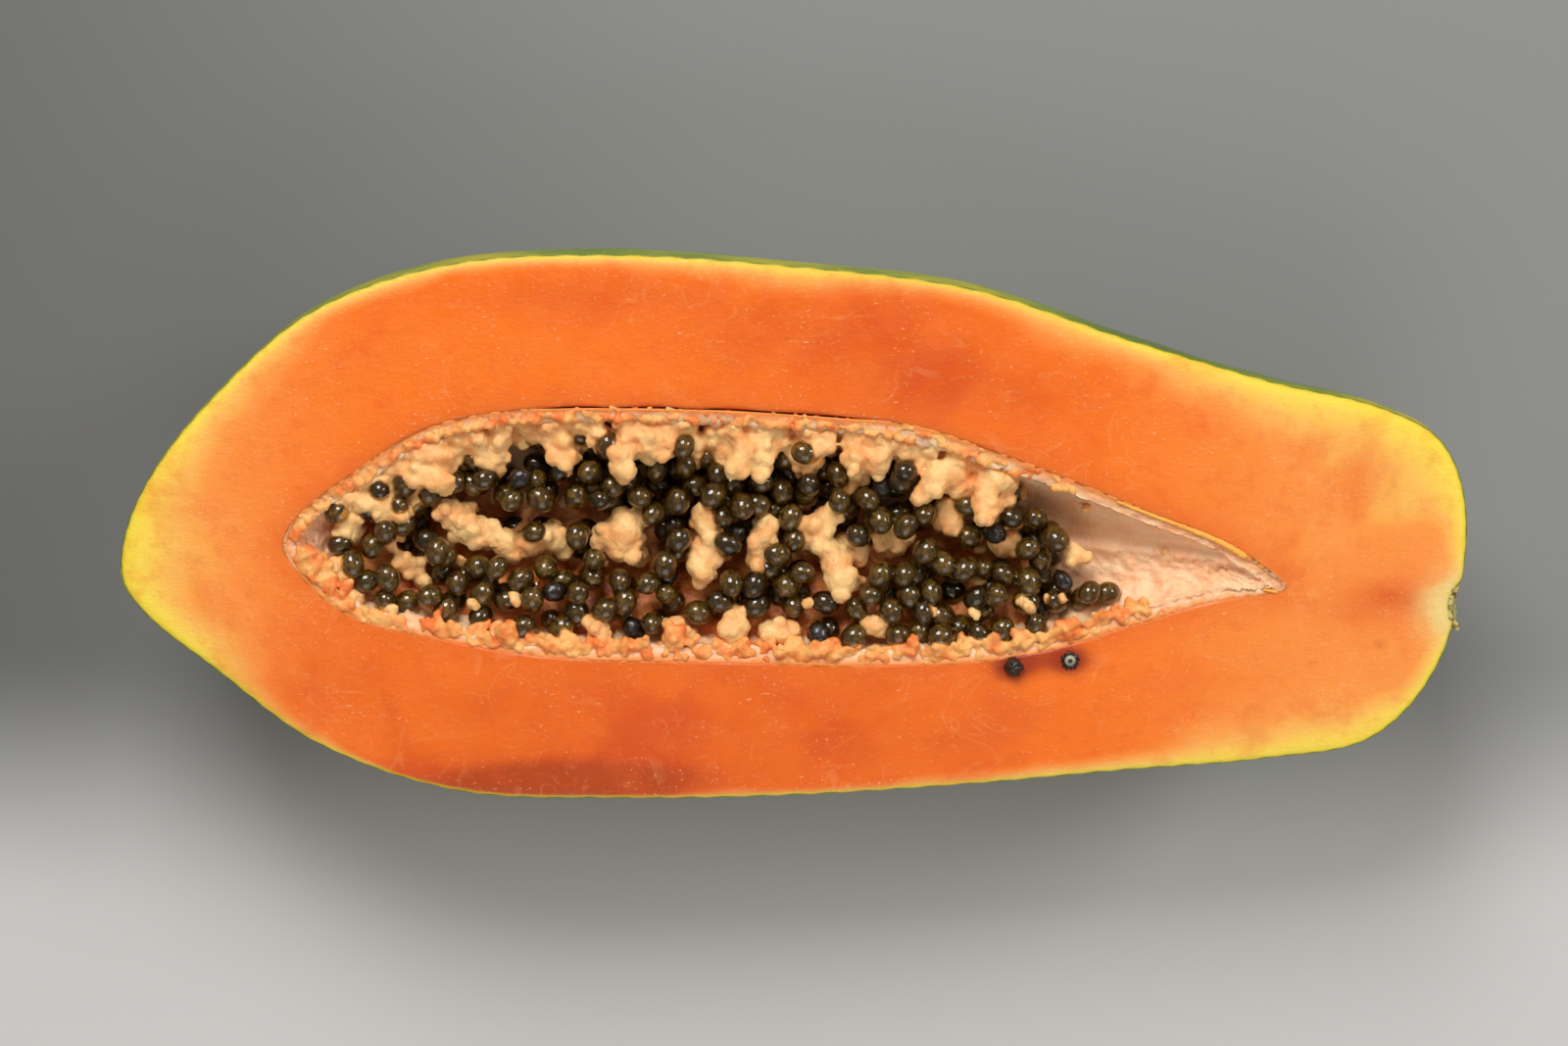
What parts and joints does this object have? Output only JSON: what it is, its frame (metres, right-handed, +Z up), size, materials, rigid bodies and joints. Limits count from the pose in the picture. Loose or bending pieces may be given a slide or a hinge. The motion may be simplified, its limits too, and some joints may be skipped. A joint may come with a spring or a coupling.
{
  "type": "papaya half",
  "caption": "Ripe papaya half cut lengthwise: round rind side down, cut face up, orange flesh around an open hollow with pale pulp and a bed of dark seeds.",
  "frame": {"origin": "under the middle of the fruit's length and width, on the surface that the half rests on", "axes": "+X to the stem end, +Y across the fruit to the side from which the pulp lobes hang, +Z up out of the cut face"},
  "size_m": [0.3, 0.1226, 0.0581],
  "materials": {
    "flesh": "wet, slightly translucent orange flesh with a yellow band under a thin green to yellow rind",
    "pulp": "soft, damp, pale peach pulp in knobbly lobes",
    "seeds": "wet black seeds, each in a clear olive-brown gel coat"
  },
  "bodies": {
    "root": {"flesh": "flesh", "pulp_lining": "pulp", "seed_bed": "seeds"}
  },
  "joints": []
}
